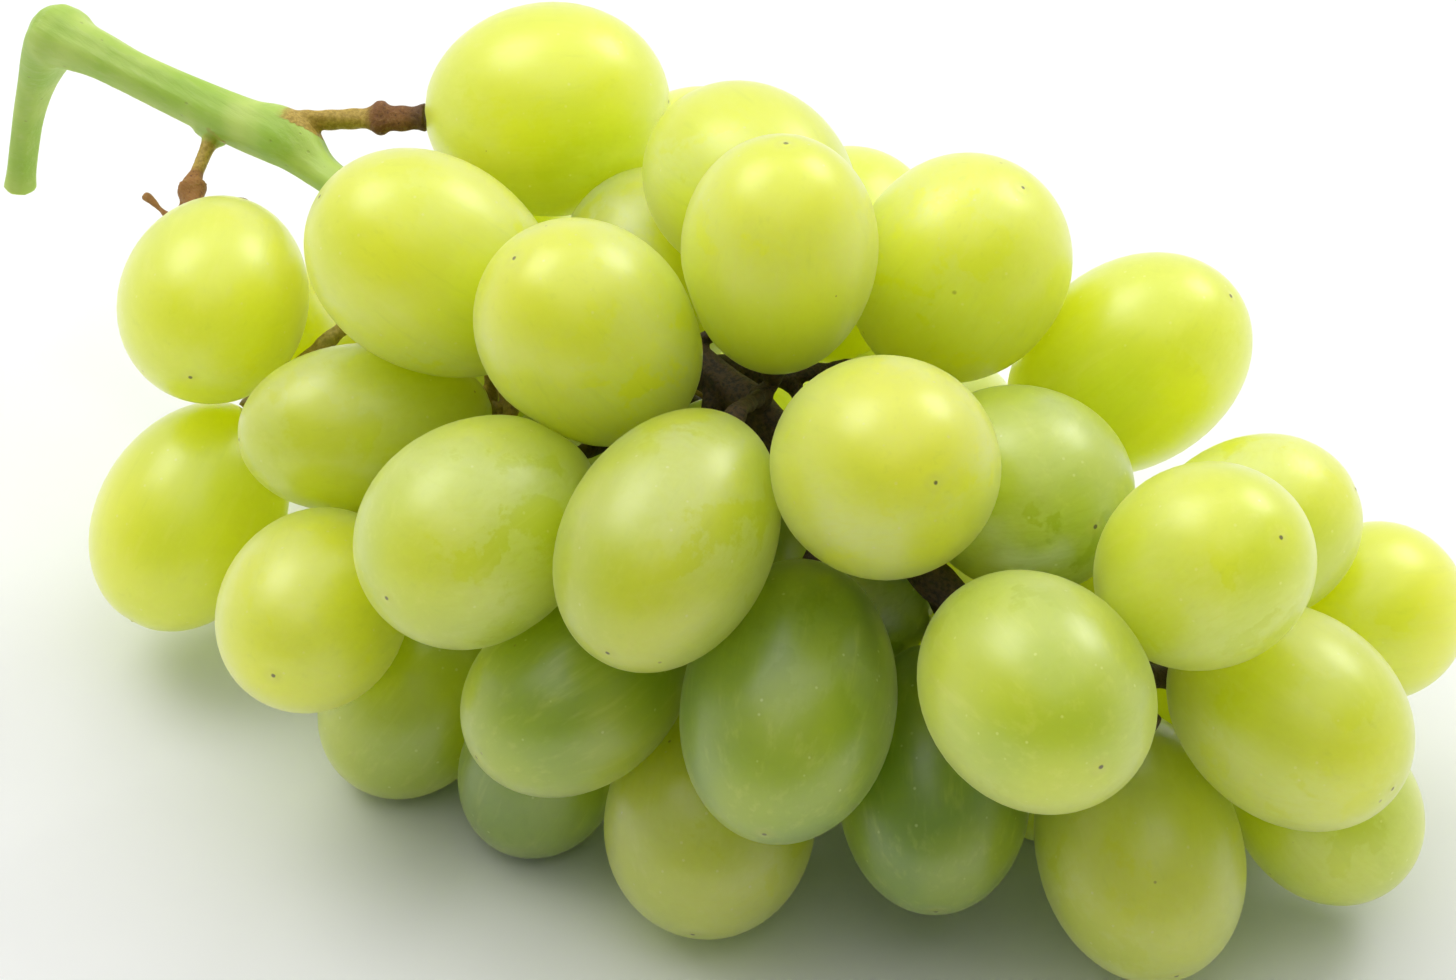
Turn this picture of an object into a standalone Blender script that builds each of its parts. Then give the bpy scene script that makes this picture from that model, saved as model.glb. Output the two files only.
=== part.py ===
"""A bunch of green table grapes lying on its side.

The stalk, main axis, side branches and small stalks grew as one piece and are
one node. Every berry is a node of its own, pressed lightly against its
neighbours and against the surface it lies on. Working units are millimetres,
turned into metres as each mesh is made. +X runs from the stalk to the tip of
the bunch, and z = 0 is the surface it rests on.
"""

import math

import bmesh
import bpy
import numpy as np
from mathutils import Matrix, Vector

# ---------------------------------------------------------------- dimensions
MM = 0.001
GAP = 0.30  # left between neighbouring pieces
PRESS = 0.035  # part of its girth by which a berry may press into a neighbour
REST_PRESS = 0.45  # how far the lowest berries flatten on the surface
EGG = 0.05  # how much blunter the tip half of a berry is than the stalk half
BERRY_SEGMENTS, BERRY_RINGS = 14, 8
TUBE_SIDES_AXIS, TUBE_SIDES_BRANCH = 8, 6

# The main axis: x, y, z and radius, from the cut end of the hooked stalk to
# the last fork inside the bunch.
STALK = (
    (-106.3, -3.5, 18.4, 1.65),
    (-105.8, -2.9, 23.1, 1.60),
    (-104.6, -2.6, 28.6, 1.70),
    (-103.0, -2.2, 33.8, 2.10),
    (-100.8, -2.0, 38.6, 2.90),
    (-98.7, -1.8, 41.5, 3.50),
    (-95.6, -1.9, 42.0, 2.80),
    (-92.1, -1.6, 42.3, 2.45),
    (-87.6, -0.9, 42.0, 2.28),
    (-80.5, 0.7, 41.4, 2.45),
    (-72.7, 2.0, 41.4, 2.75),
    (-67.4, 2.8, 42.0, 3.05),
    (-62.5, 2.7, 40.7, 1.90),
    (-57.8, 2.6, 40.7, 1.80),
)
AXIS = (
    (-52.0, 3.0, 42.0, 2.15),
    (-41.0, 4.2, 42.8, 2.05),
    (-30.0, 5.0, 43.0, 2.00),
    (-17.0, 5.6, 42.6, 1.95),
    (-5.0, 6.0, 42.0, 1.90),
    (11.0, 5.0, 39.0, 1.75),
    (27.0, 4.0, 36.0, 1.60),
    (38.0, 6.0, 33.5, 1.40),
    (49.0, 8.0, 31.0, 1.15),
)
AXIS_CLEAR = 2.8  # kept free around the main axis
BRANCH_R = 1.25  # side branch
PEDICEL_R = 0.80  # small stalk that carries one berry
COLLAR_R, COLLAR_T = 1.50, 1.1  # the flared end a berry sits on
LEAD = 0.45  # how far back towards the stalk a branch starts
CLUSTER_SPAN, CLUSTER_STATION, CLUSTER_MOST = 16.0, 10.0, 3
JOINT_AT = 0.42  # where along its way a shared branch splits
STEP = 1.8  # spacing of the points along a branch while it is threaded

# Each berry: x, y, z of its middle, the compass angle and the rise of its tip
# in degrees, its length and its girth.
BERRIES = (
    (-46, 21, 46, 40, 8, 25.5, 22.0),
    (-33, -8, 50, -140, 35, 27.0, 21.0),
    (-59, -15, 35.5, -54, -7, 23.0, 19.5),
    (-11, -9, 52, -125, 55, 25.2, 20.3),
    (-17, 20, 52, 170, -5, 24.5, 19.5),
    (-1, 8, 60, 120, 80, 24.2, 18.8),
    (4, 28, 50, 40, 60, 24.4, 21.3),
    (18, 38, 40, 40, 45, 27.5, 20.0),
    (-35, -16, 33, -120, 5, 26.0, 17.0),
    (-53, -25, 16, -80, -35, 25.0, 19.0),
    (-25, -31, 23, -61, 6, 24.0, 18.5),
    (-7, -23, 40, -85, 0, 26.5, 21.0),
    (10, -16, 44, -70, -15, 28.0, 20.0),
    (22, -2, 53, -20, 30, 25.0, 21.0),
    (24, 15, 41, -10, 15, 24.0, 20.0),
    (40, 31, 35, 50, 25, 22.5, 18.0),
    (50, 12, 49, 5, 45, 23.5, 19.0),
    (48, 41, 25, 75, -15, 19.0, 17.5),
    (56, 19, 30, 0, -5, 26.0, 20.0),
    (55, 27, 13, 25, -45, 21.5, 17.5),
    (46, -6, 43, -20, 5, 26.0, 21.0),
    (19, -12, 30, -55, -20, 29.0, 20.5),
    (-1, -21, 24, -100, -12, 24.0, 18.5),
    (13, -16, 13, -55, -30, 24.0, 20.5),
    (27, 0, 18, -45, -30, 27.0, 19.0),
    (47, 9, 14, -30, -25, 28.0, 20.0),
    (-21, -24, 9, -110, -50, 21.5, 17.5),
    (-6, -21, 8, -110, -65, 20.5, 16.0),
    (-28, 17, 39, 140, 20, 23.0, 19.5),
    (-39, 34, 34, 130, 15, 23.0, 19.5),
    (-15, 30, 39, 115, 15, 24.0, 19.5),
    (-55, -2, 22, 160, 0, 23.0, 19.0),
    (-5, 7, 28, -60, 20, 20.0, 16.5),
    (15, 7, 26, -35, -20, 22.0, 17.0),
    (27, 23, 22, -5, 15, 22.0, 17.0),
    (-53, 18, 25, 90, -50, 24.0, 19.5),
    (-21, -1, 23, -90, -70, 24.0, 19.0),
    (0, 28, 26, 85, -35, 26.0, 20.5),
    (-38, 7, 28, 20, -50, 24.0, 18.5),
    (-13, 14, 12, 50, -70, 24.5, 19.5),
    (13, 26, 11, 75, -40, 24.5, 19.5),
    (38, 31, 11, 65, -45, 24.5, 19.5),
    (-40, 21, 11, 160, -50, 24.5, 19.5),
    (4, 1, 12, 90, -60, 24.5, 19.5),
    (-40, -7, 11, -150, -55, 24.5, 19.5),
    (28, 19, 10, 30, -55, 22.0, 18.0),
    (-25, 32, 13, 95, -35, 24.5, 19.5),
)

# Two side branches leave the bare stalk, before the bunch begins, and a dried
# stub without a berry stands beside the second.
UPPER_BERRY, UPPER_START = 0, (-67.1, 4.7, 43.5)
LOWER_BERRY, LOWER_START = 2, (-76.6, 0.5, 39.3)
LOWER_KNEE, LOWER_TURN = (-73.1, -5.9, 37.2), (-70.5, -7.4, 36.6)
KNOT_R, KNOT_SPAN = 0.60, 2.2  # the swelling on each, and its half length
DRIED_STUB = (
    (-72.7, -6.5, 36.8, 0.70),
    (-73.4, -7.4, 34.7, 0.50),
    (-74.6, -7.9, 33.7, 0.40),
    (-75.9, -7.9, 33.9, 0.35),
    (-77.0, -7.9, 34.2, 0.38),
    (-77.8, -7.9, 34.4, 0.64),
    (-78.4, -7.9, 34.4, 0.50),
)


# ------------------------------------------------------------ berry settling
def plan():
    rows = np.array(BERRIES, float)
    turn, rise = np.radians(rows[:, 3]), np.radians(rows[:, 4])
    way = np.stack(
        [np.cos(rise) * np.cos(turn), np.cos(rise) * np.sin(turn), np.sin(rise)], 1
    )
    return rows[:, :3].copy(), way, rows[:, 5] / 2, rows[:, 6] / 2


def inner_spheres(centre, way, half, girth, count=5):
    """Spheres that fill a berry from inside, for finding where two berries press."""
    reach = (half**2 - girth**2) / half
    at = reach[:, None] * np.linspace(-1, 1, count)[None]
    size = girth[:, None] * np.sqrt(
        np.maximum(1 - at**2 / (half**2 - girth**2)[:, None], 0)
    )
    return centre[:, None] + at[..., None] * way[:, None], size


def half_height(way, half, girth):
    return np.sqrt((half * way[:, 2]) ** 2 + girth**2 * (1 - way[:, 2] ** 2))


def deepest(spheres, size):
    """For each pair of berries, the deepest press and its direction and place."""
    n, k = size.shape
    p, r = spheres.reshape(-1, 3), size.reshape(-1)
    apart = p[:, None] - p[None]
    length = np.linalg.norm(apart, axis=-1) + 1e-9
    press = (r[:, None] + r[None] - length).reshape(n, k, n, k)
    press = press.transpose(0, 2, 1, 3).reshape(n, n, k * k)
    best = press.argmax(-1)
    depth = np.take_along_axis(press, best[..., None], -1)[..., 0]
    first, second = best // k, best % k
    i, j = np.indices((n, n))
    a, b = spheres[i, first], spheres[j, second]
    line = a - b
    line /= np.linalg.norm(line, axis=-1, keepdims=True) + 1e-9
    depth[np.arange(n), np.arange(n)] = -99.0
    middle = b + line * (size[j, second] - depth / 2)[..., None]
    return depth, line, middle


def along(points, step=2.0):
    """A polyline of x, y, z, radius rows, resampled evenly."""
    points = np.array(points, float)
    run = np.concatenate(
        [[0], np.cumsum(np.linalg.norm(np.diff(points[:, :3], axis=0), axis=1))]
    )
    at = np.linspace(0, run[-1], max(2, int(run[-1] / step) + 1))
    return np.stack([np.interp(at, run, points[:, k]) for k in range(4)], 1)


def settle(threads=None, turns=160):
    """Berries moved apart, clear of the axis and of any threads, and down onto the surface."""
    centre, way, half, girth = plan()
    wanted = centre.copy()
    axis = along(STALK[-2:] + AXIS)[:, :3]
    clear = np.full(len(axis), AXIS_CLEAR)
    owner = np.full(len(axis), -1)
    if threads is not None:
        axis = np.vstack([axis, threads[0]])
        clear = np.append(clear, threads[1])
        owner = np.append(owner, threads[2])
    mine = owner[None] == np.repeat(np.arange(len(centre)), 5)[:, None]
    for _ in range(turns):
        spheres, size = inner_spheres(centre, way, half, girth)
        size = size * (1 - PRESS)
        depth, line, _ = deepest(spheres, size)
        push = (np.maximum(depth, 0)[..., None] * line).sum(1)
        centre += 0.35 * push
        out = spheres.reshape(-1, 1, 3) - axis[None]
        length = np.linalg.norm(out, axis=-1) + 1e-9
        short = np.maximum(size.reshape(-1, 1) + clear[None] - length, 0)
        short[mine] = 0
        away = (short[..., None] * out / length[..., None]).reshape(
            len(centre), -1, 3
        )
        most = short.reshape(len(centre), -1).max(1)
        away = away.sum(1)
        away /= np.linalg.norm(away, axis=-1, keepdims=True) + 1e-9
        centre += 0.4 * most[:, None] * away
        centre += 0.02 * (wanted - centre)
        low = half_height(way, half, girth) - REST_PRESS
        near = centre[:, 2] < low + 0.8
        centre[near, 2] = low[near]
    return centre, way, half, girth


def contact_planes(centre, way, half, girth):
    """(berry, point, outward normal) of each flat that a neighbour or the surface presses."""
    spheres, size = inner_spheres(centre, way, half, girth, 9)
    depth, line, middle = deepest(spheres, size)
    planes = [[] for _ in centre]
    for i in range(len(centre)):
        for j in range(len(centre)):
            if i != j and depth[i, j] > -0.8:
                planes[i].append((middle[i, j] + line[i, j] * GAP / 2, -line[i, j]))
        if centre[i, 2] < half_height(way, half, girth)[i]:
            planes[i].append((np.zeros(3), np.array([0.0, 0.0, -1.0])))
    return planes


# ------------------------------------------------------------- stalk routing
def inner_pole(i, berries, gap):
    centre, way, half, _ = berries
    return centre[i] - way[i] * (half[i] + gap)


def outside(points, berries):
    """Distance outside each berry, and the way out, for each point."""
    centre, way, half, girth = berries
    q = points[:, None] - centre[None]
    lengthwise = (q * way[None]).sum(-1)
    shrink = 1 / half**2 - 1 / girth**2
    m = q / (girth**2)[None, :, None] + (lengthwise * shrink)[..., None] * way[None]
    f = np.sqrt((m * q).sum(-1)) + 1e-9
    g = np.linalg.norm(m, axis=-1) + 1e-9
    return (f - 1) * f / g, m / g[..., None]


def branches(berries):
    """Every branch and small stalk as points with radii, threaded between the berries."""
    centre = berries[0]
    count = len(centre)
    axis = along(AXIS, 1.5)[:, :3]
    run = np.linspace(0, 1, len(axis))
    poles = np.array([inner_pole(i, berries, GAP) for i in range(count)])
    special = (UPPER_BERRY, LOWER_BERRY)
    starts, stations = {}, {}
    for i in range(count):
        if i in special:
            continue
        gap = np.linalg.norm(axis - poles[i], axis=1)
        near = int(gap.argmin())
        back = max(0, near - int(LEAD * gap[near] / 1.5))
        stations[i] = back
        starts[i] = axis[back]
    # Berries that hang close together share one side branch.
    free, groups = sorted(stations, key=lambda i: (stations[i], i)), []
    while free:
        lead = free.pop(0)
        group = [lead]
        others = sorted(
            (k for k in free if abs(stations[k] - stations[lead]) * 1.5 < CLUSTER_STATION),
            key=lambda k: float(np.linalg.norm(poles[k] - poles[lead])),
        )
        for k in others:
            if len(group) >= CLUSTER_MOST:
                break
            if np.linalg.norm(poles[k] - poles[lead]) < CLUSTER_SPAN:
                group.append(k)
                free.remove(k)
        groups.append(group)
    points, fixed, own, links, rests, chains = [], [], [], [], [], []

    def add(p, is_fixed, belongs=-1):
        points.append(np.array(p, float))
        fixed.append(is_fixed)
        own.append(belongs)
        return len(points) - 1

    def chain(a, b, radius, belongs, stem_way=None):
        """Points from a to b, as indices; the last but one leaves the berry straight."""
        first, last = points[a], points[b]
        target = last
        tail = []
        if stem_way is not None:
            target = last - stem_way * 1.7
            tail = [add(target, True, belongs), b]
        steps = max(2, int(np.linalg.norm(target - first) / STEP) + 1)
        ids = [a]
        for t in np.linspace(0, 1, steps + 1)[1:-1]:
            ids.append(add(first * (1 - t) + target * t, False, -1))
        ids += tail or [b]
        for u, v in zip(ids[:-1], ids[1:]):
            links.append((u, v))
        chains.append((ids, radius, belongs))
        return ids

    for group in groups:
        base = starts[group[0]]
        if len(group) == 1:
            i = group[0]
            a, b = add(base, True), add(poles[i], True, i)
            chain(a, b, PEDICEL_R, i, berries[1][i])
            continue
        base = axis[int(np.mean([stations[i] for i in group]))]
        middle = np.mean([poles[i] for i in group], axis=0)
        joint = add(base + (middle - base) * JOINT_AT, False)
        chain(add(base, True), joint, BRANCH_R, -1)
        for i in group:
            chain(joint, add(poles[i], True, i), PEDICEL_R, i, berries[1][i])
    # the two that leave the bare stalk
    a, b = add(UPPER_START, True), add(poles[UPPER_BERRY], True, UPPER_BERRY)
    chain(a, b, 1.10, UPPER_BERRY, berries[1][UPPER_BERRY])
    knee = add(LOWER_KNEE, True)
    chain(add(LOWER_START, True), knee, 1.15, -1)
    b = add(poles[LOWER_BERRY], True, LOWER_BERRY)
    ids = chain(knee, b, 1.0, LOWER_BERRY, berries[1][LOWER_BERRY])
    # past the knee it turns down behind the berry
    points[ids[1]], fixed[ids[1]] = np.array(LOWER_TURN), True

    p = np.array(points)
    held = np.array(fixed)
    links_a = np.array([u for u, _ in links])
    links_b = np.array([v for _, v in links])
    degree = np.zeros(len(p))
    np.add.at(degree, links_a, 1)
    np.add.at(degree, links_b, 1)
    owner = np.array(own)
    for _ in range(260):
        mean = np.zeros_like(p)
        np.add.at(mean, links_a, p[links_b])
        np.add.at(mean, links_b, p[links_a])
        mean /= degree[:, None]
        smooth = p + 0.25 * (mean - p)
        moved = smooth
        for _ in range(2):
            far, out = outside(moved, berries)
            short = np.maximum(PEDICEL_R + GAP + 0.35 - far, 0)
            moved = moved + 0.6 * (short[..., None] * out).sum(1)
        moved[:, 2] = np.maximum(moved[:, 2], 3.0)
        p[~held] = moved[~held]
    return p, chains


def grow():
    """Berries and branches given room in turn, until the small stalks fit between the berries."""
    berries = settle()
    for _ in range(3):
        p, chains = branches(berries)
        rows = [
            (*point, radius + GAP + 0.35, belongs)
            for ids, radius, belongs in chains
            for point in p[ids[1:-1]]
        ]
        rows = np.array(rows)
        berries = settle((rows[:, :3], rows[:, 3], rows[:, 4].astype(int)))
    return berries, branches(berries)


def clear_radius(points, radii, berries, skip_end):
    """Radii thinned wherever a neighbour leaves too little room."""
    far, _ = outside(points, berries)
    room = far.min(1) - GAP * 0.7
    if skip_end:
        room[-1] = 99.0
    return np.minimum(radii, room)


def simple(rows, slack=0.25):
    """The polyline without the points that hardly bend it or change its radius."""
    if len(rows) < 3:
        return rows
    a, b = rows[0], rows[-1]
    t = np.linspace(0, 1, len(rows))
    line = b[:3] - a[:3]
    t = np.clip((rows[:, :3] - a[:3]) @ line / (line @ line), 0, 1)
    off = np.linalg.norm(rows - (a + t[:, None] * (b - a)), axis=1)
    worst = int(off.argmax())
    if off[worst] < slack or worst in (0, len(rows) - 1):
        return np.vstack([a, b])
    return np.vstack([simple(rows[: worst + 1], slack), simple(rows[worst:], slack)[1:]])


def tubes(berries, threaded):
    """Polylines of x, y, z, radius rows: the stalk and axis first, then each branch."""
    found = [np.array(STALK + AXIS, float)]
    p, chains = threaded
    for ids, radius, belongs in chains:
        line = p[ids]
        fine = along(np.column_stack([line, np.full(len(line), radius)]), 1.3)
        radii = clear_radius(fine[:, :3], fine[:, 3], berries, belongs >= 0)
        room = np.interp(
            np.linspace(0, 1, len(ids)), np.linspace(0, 1, len(fine)), radii
        )
        run = np.concatenate(
            [[0], np.cumsum(np.linalg.norm(np.diff(line, axis=0), axis=1))]
        )
        fine_run = np.linspace(0, run[-1], len(fine))
        room = np.array(
            [
                radii[np.abs(fine_run - at) < 1.4].min()
                if (np.abs(fine_run - at) < 1.4).any()
                else radius
                for at in run
            ]
        )
        if belongs in (UPPER_BERRY, LOWER_BERRY):
            knot = run[-1] * (0.55 if belongs == UPPER_BERRY else 0.0)
            room = room + KNOT_R * np.exp(-(((run - knot) / KNOT_SPAN) ** 2))
        rows = np.column_stack([line, np.maximum(room, 0.3)])
        if belongs >= 0:
            # the collar under the berry
            end, way = line[-1], berries[1][belongs]
            rows = rows[:-1]
            rows = np.vstack(
                [
                    rows,
                    np.append(end - way * COLLAR_T, rows[-1, 3] * 1.1),
                    np.append(end, COLLAR_R),
                ]
            )
        found.append(simple(rows))
    found.append(np.array(DRIED_STUB))
    return found


# ------------------------------------------------------------------- meshing
def clear_scene():
    for obj in list(bpy.data.objects):
        bpy.data.objects.remove(obj, do_unlink=True)
    for group in list(bpy.data.collections):
        bpy.data.collections.remove(group)
    for block in (bpy.data.meshes, bpy.data.curves, bpy.data.materials):
        for item in list(block):
            block.remove(item)


def material(name, colour, roughness):
    made = bpy.data.materials.new(name)
    made.use_nodes = True
    shader = made.node_tree.nodes["Principled BSDF"]
    shader.inputs["Base Color"].default_value = (*colour, 1.0)
    shader.inputs["Roughness"].default_value = roughness
    shader.inputs["Metallic"].default_value = 0.0
    return made


def tube_mesh(name, rows, sides):
    """A closed tapering tube along rows of x, y, z, radius, as a mesh object."""
    curve = bpy.data.curves.new(name, "CURVE")
    curve.dimensions = "3D"
    curve.bevel_depth = 1.0 * MM
    curve.bevel_resolution = max(0, sides // 2 - 2)
    curve.use_fill_caps = True
    curve.twist_mode = "MINIMUM"
    spline = curve.splines.new("POLY")
    spline.points.add(len(rows) - 1)
    for point, row in zip(spline.points, rows):
        point.co = (*(row[:3] * MM), 1.0)
        point.radius = float(row[3])
    holder = bpy.data.objects.new(name + "_path", curve)
    bpy.context.scene.collection.objects.link(holder)
    bpy.context.view_layer.update()
    graph = bpy.context.evaluated_depsgraph_get()
    mesh = bpy.data.meshes.new_from_object(holder.evaluated_get(graph))
    made = bpy.data.objects.new(name, mesh)
    made.matrix_world = holder.matrix_world.copy()
    bpy.data.objects.remove(holder, do_unlink=True)
    shape = bmesh.new()
    shape.from_mesh(mesh)
    bmesh.ops.remove_doubles(shape, verts=shape.verts, dist=1e-6)
    bmesh.ops.triangulate(shape, faces=shape.faces)
    bmesh.ops.recalc_face_normals(shape, faces=shape.faces)
    shape.to_mesh(mesh)
    shape.free()
    mesh.name = name
    return made


def berry_object(name, centre, way, half, girth, planes):
    """An egg-shaped berry, flattened where something presses on it."""
    shape = bmesh.new()
    bmesh.ops.create_uvsphere(
        shape, u_segments=BERRY_SEGMENTS, v_segments=BERRY_RINGS, radius=1.0
    )
    for vert in shape.verts:
        wide = girth * (1 + EGG * vert.co.z)
        vert.co = Vector((vert.co.x * wide, vert.co.y * wide, vert.co.z * half)) * MM
    turn = Vector(way).to_track_quat("Z", "Y").to_matrix().to_4x4()
    place = Matrix.Translation(Vector(centre) * MM) @ turn
    back = place.inverted()
    for point, normal in planes:
        at = back @ (Vector(point) * MM)
        out = (back.to_3x3() @ Vector(normal)).normalized()
        far = max((v.co - at).dot(out) for v in shape.verts)
        if far < 0.02 * MM:
            continue
        cut = bmesh.ops.bisect_plane(
            shape,
            geom=shape.verts[:] + shape.edges[:] + shape.faces[:],
            dist=1e-6,
            plane_co=at,
            plane_no=out,
            clear_outer=True,
        )
        rim = [e for e in cut["geom_cut"] if isinstance(e, bmesh.types.BMEdge)]
        bmesh.ops.edgeloop_fill(shape, edges=[e for e in rim if e.is_boundary])
    bmesh.ops.remove_doubles(shape, verts=shape.verts, dist=2e-5)
    bmesh.ops.dissolve_degenerate(shape, edges=shape.edges, dist=1e-5)
    bmesh.ops.triangulate(shape, faces=shape.faces)
    bmesh.ops.recalc_face_normals(shape, faces=shape.faces)
    mesh = bpy.data.meshes.new(name)
    shape.to_mesh(mesh)
    shape.free()
    made = bpy.data.objects.new(name, mesh)
    made.matrix_world = place
    return made


def centre_on_origin(bunch, helpers):
    """Moves every piece together, so that the middle of the box's bottom is the origin."""
    corners = np.array(
        [
            obj.matrix_world @ vert.co
            for obj in bunch.objects
            for vert in obj.data.vertices
        ]
    )
    low, high = corners.min(0), corners.max(0)
    shift = Vector((-(low[0] + high[0]) / 2, -(low[1] + high[1]) / 2, -low[2]))
    for obj in list(bunch.objects) + list(helpers.objects):
        obj.location += shift
    bpy.context.view_layer.update()


def main():
    clear_scene()
    scene = bpy.context.scene
    bunch = bpy.data.collections.new("grape_bunch")
    helpers = bpy.data.collections.new("helpers")
    scene.collection.children.link(bunch)
    scene.collection.children.link(helpers)
    helpers.hide_render = True

    berries, threaded = grow()
    planes = contact_planes(*berries)
    centre, way, half, girth = berries
    for i in range(len(centre)):
        name = f"berry_{i + 1:02d}"
        made = berry_object(name, centre[i], way[i], half[i], girth[i], planes[i])
        shade = 0.04 * math.sin(2.4 * i)
        made.data.materials.append(
            material(name, (0.45 + shade, 0.58 + shade, 0.08), 0.35)
        )
        bunch.objects.link(made)

    lines = tubes(berries, threaded)
    stem = tube_mesh("stem", lines[0], TUBE_SIDES_AXIS)
    stem.data.materials.append(material("stem", (0.40, 0.55, 0.16), 0.55))
    bunch.objects.link(stem)
    for k, rows in enumerate(lines[1:]):
        branch = tube_mesh(f"branch_{k + 1:02d}", rows, TUBE_SIDES_BRANCH)
        branch.hide_render = True
        branch.display_type = "WIRE"
        helpers.objects.link(branch)
    join = stem.modifiers.new("grown_together", "BOOLEAN")
    join.operation = "UNION"
    join.solver = "EXACT"
    join.operand_type = "COLLECTION"
    join.collection = helpers
    bpy.context.view_layer.update()
    centre_on_origin(bunch, helpers)


main()
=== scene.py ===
"""The looks of a bunch of green grapes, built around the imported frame.

The berries settle and the branches thread between them by the same rules and
dimensions as the solids, in millimetres, so each piece lies where its node is.
"""

import math

import bmesh
import bpy
import numpy as np
from mathutils import Matrix, Vector, kdtree


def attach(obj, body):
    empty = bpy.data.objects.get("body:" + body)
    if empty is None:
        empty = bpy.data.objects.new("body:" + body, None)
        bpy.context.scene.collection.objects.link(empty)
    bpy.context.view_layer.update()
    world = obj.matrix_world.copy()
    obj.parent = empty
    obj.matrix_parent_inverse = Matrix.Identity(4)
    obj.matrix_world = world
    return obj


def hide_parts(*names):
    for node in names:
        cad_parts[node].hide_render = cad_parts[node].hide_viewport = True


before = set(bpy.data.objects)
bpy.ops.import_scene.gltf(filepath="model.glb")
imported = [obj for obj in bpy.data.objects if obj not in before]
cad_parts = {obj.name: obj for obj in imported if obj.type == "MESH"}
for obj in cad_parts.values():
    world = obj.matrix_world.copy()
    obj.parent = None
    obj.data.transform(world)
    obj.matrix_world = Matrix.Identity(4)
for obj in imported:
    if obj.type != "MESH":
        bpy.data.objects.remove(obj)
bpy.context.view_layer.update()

# ---------------------------------------------------------------- dimensions
MM = 0.001
GAP = 0.30  # left between neighbouring pieces
PRESS = 0.035  # part of its girth by which a berry may press into a neighbour
REST_PRESS = 0.45  # how far the lowest berries flatten on the surface
EGG = 0.05  # how much blunter the tip half of a berry is than the stalk half

# The main axis: x, y, z and radius, from the cut end of the hooked stalk to
# the last fork inside the bunch.
STALK = (
    (-106.3, -3.5, 18.4, 1.65),
    (-105.8, -2.9, 23.1, 1.60),
    (-104.6, -2.6, 28.6, 1.70),
    (-103.0, -2.2, 33.8, 2.10),
    (-100.8, -2.0, 38.6, 2.90),
    (-98.7, -1.8, 41.5, 3.50),
    (-95.6, -1.9, 42.0, 2.80),
    (-92.1, -1.6, 42.3, 2.45),
    (-87.6, -0.9, 42.0, 2.28),
    (-80.5, 0.7, 41.4, 2.45),
    (-72.7, 2.0, 41.4, 2.75),
    (-67.4, 2.8, 42.0, 3.05),
    (-62.5, 2.7, 40.7, 1.90),
    (-57.8, 2.6, 40.7, 1.80),
)
AXIS = (
    (-52.0, 3.0, 42.0, 2.15),
    (-41.0, 4.2, 42.8, 2.05),
    (-30.0, 5.0, 43.0, 2.00),
    (-17.0, 5.6, 42.6, 1.95),
    (-5.0, 6.0, 42.0, 1.90),
    (11.0, 5.0, 39.0, 1.75),
    (27.0, 4.0, 36.0, 1.60),
    (38.0, 6.0, 33.5, 1.40),
    (49.0, 8.0, 31.0, 1.15),
)
AXIS_CLEAR = 2.8  # kept free around the main axis
BRANCH_R = 1.25  # side branch
PEDICEL_R = 0.80  # small stalk that carries one berry
COLLAR_R, COLLAR_T = 1.50, 1.1  # the flared end a berry sits on
LEAD = 0.45  # how far back towards the stalk a branch starts
CLUSTER_SPAN, CLUSTER_STATION, CLUSTER_MOST = 16.0, 10.0, 3
JOINT_AT = 0.42  # where along its way a shared branch splits
STEP = 1.8  # spacing of the points along a branch while it is threaded

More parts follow.
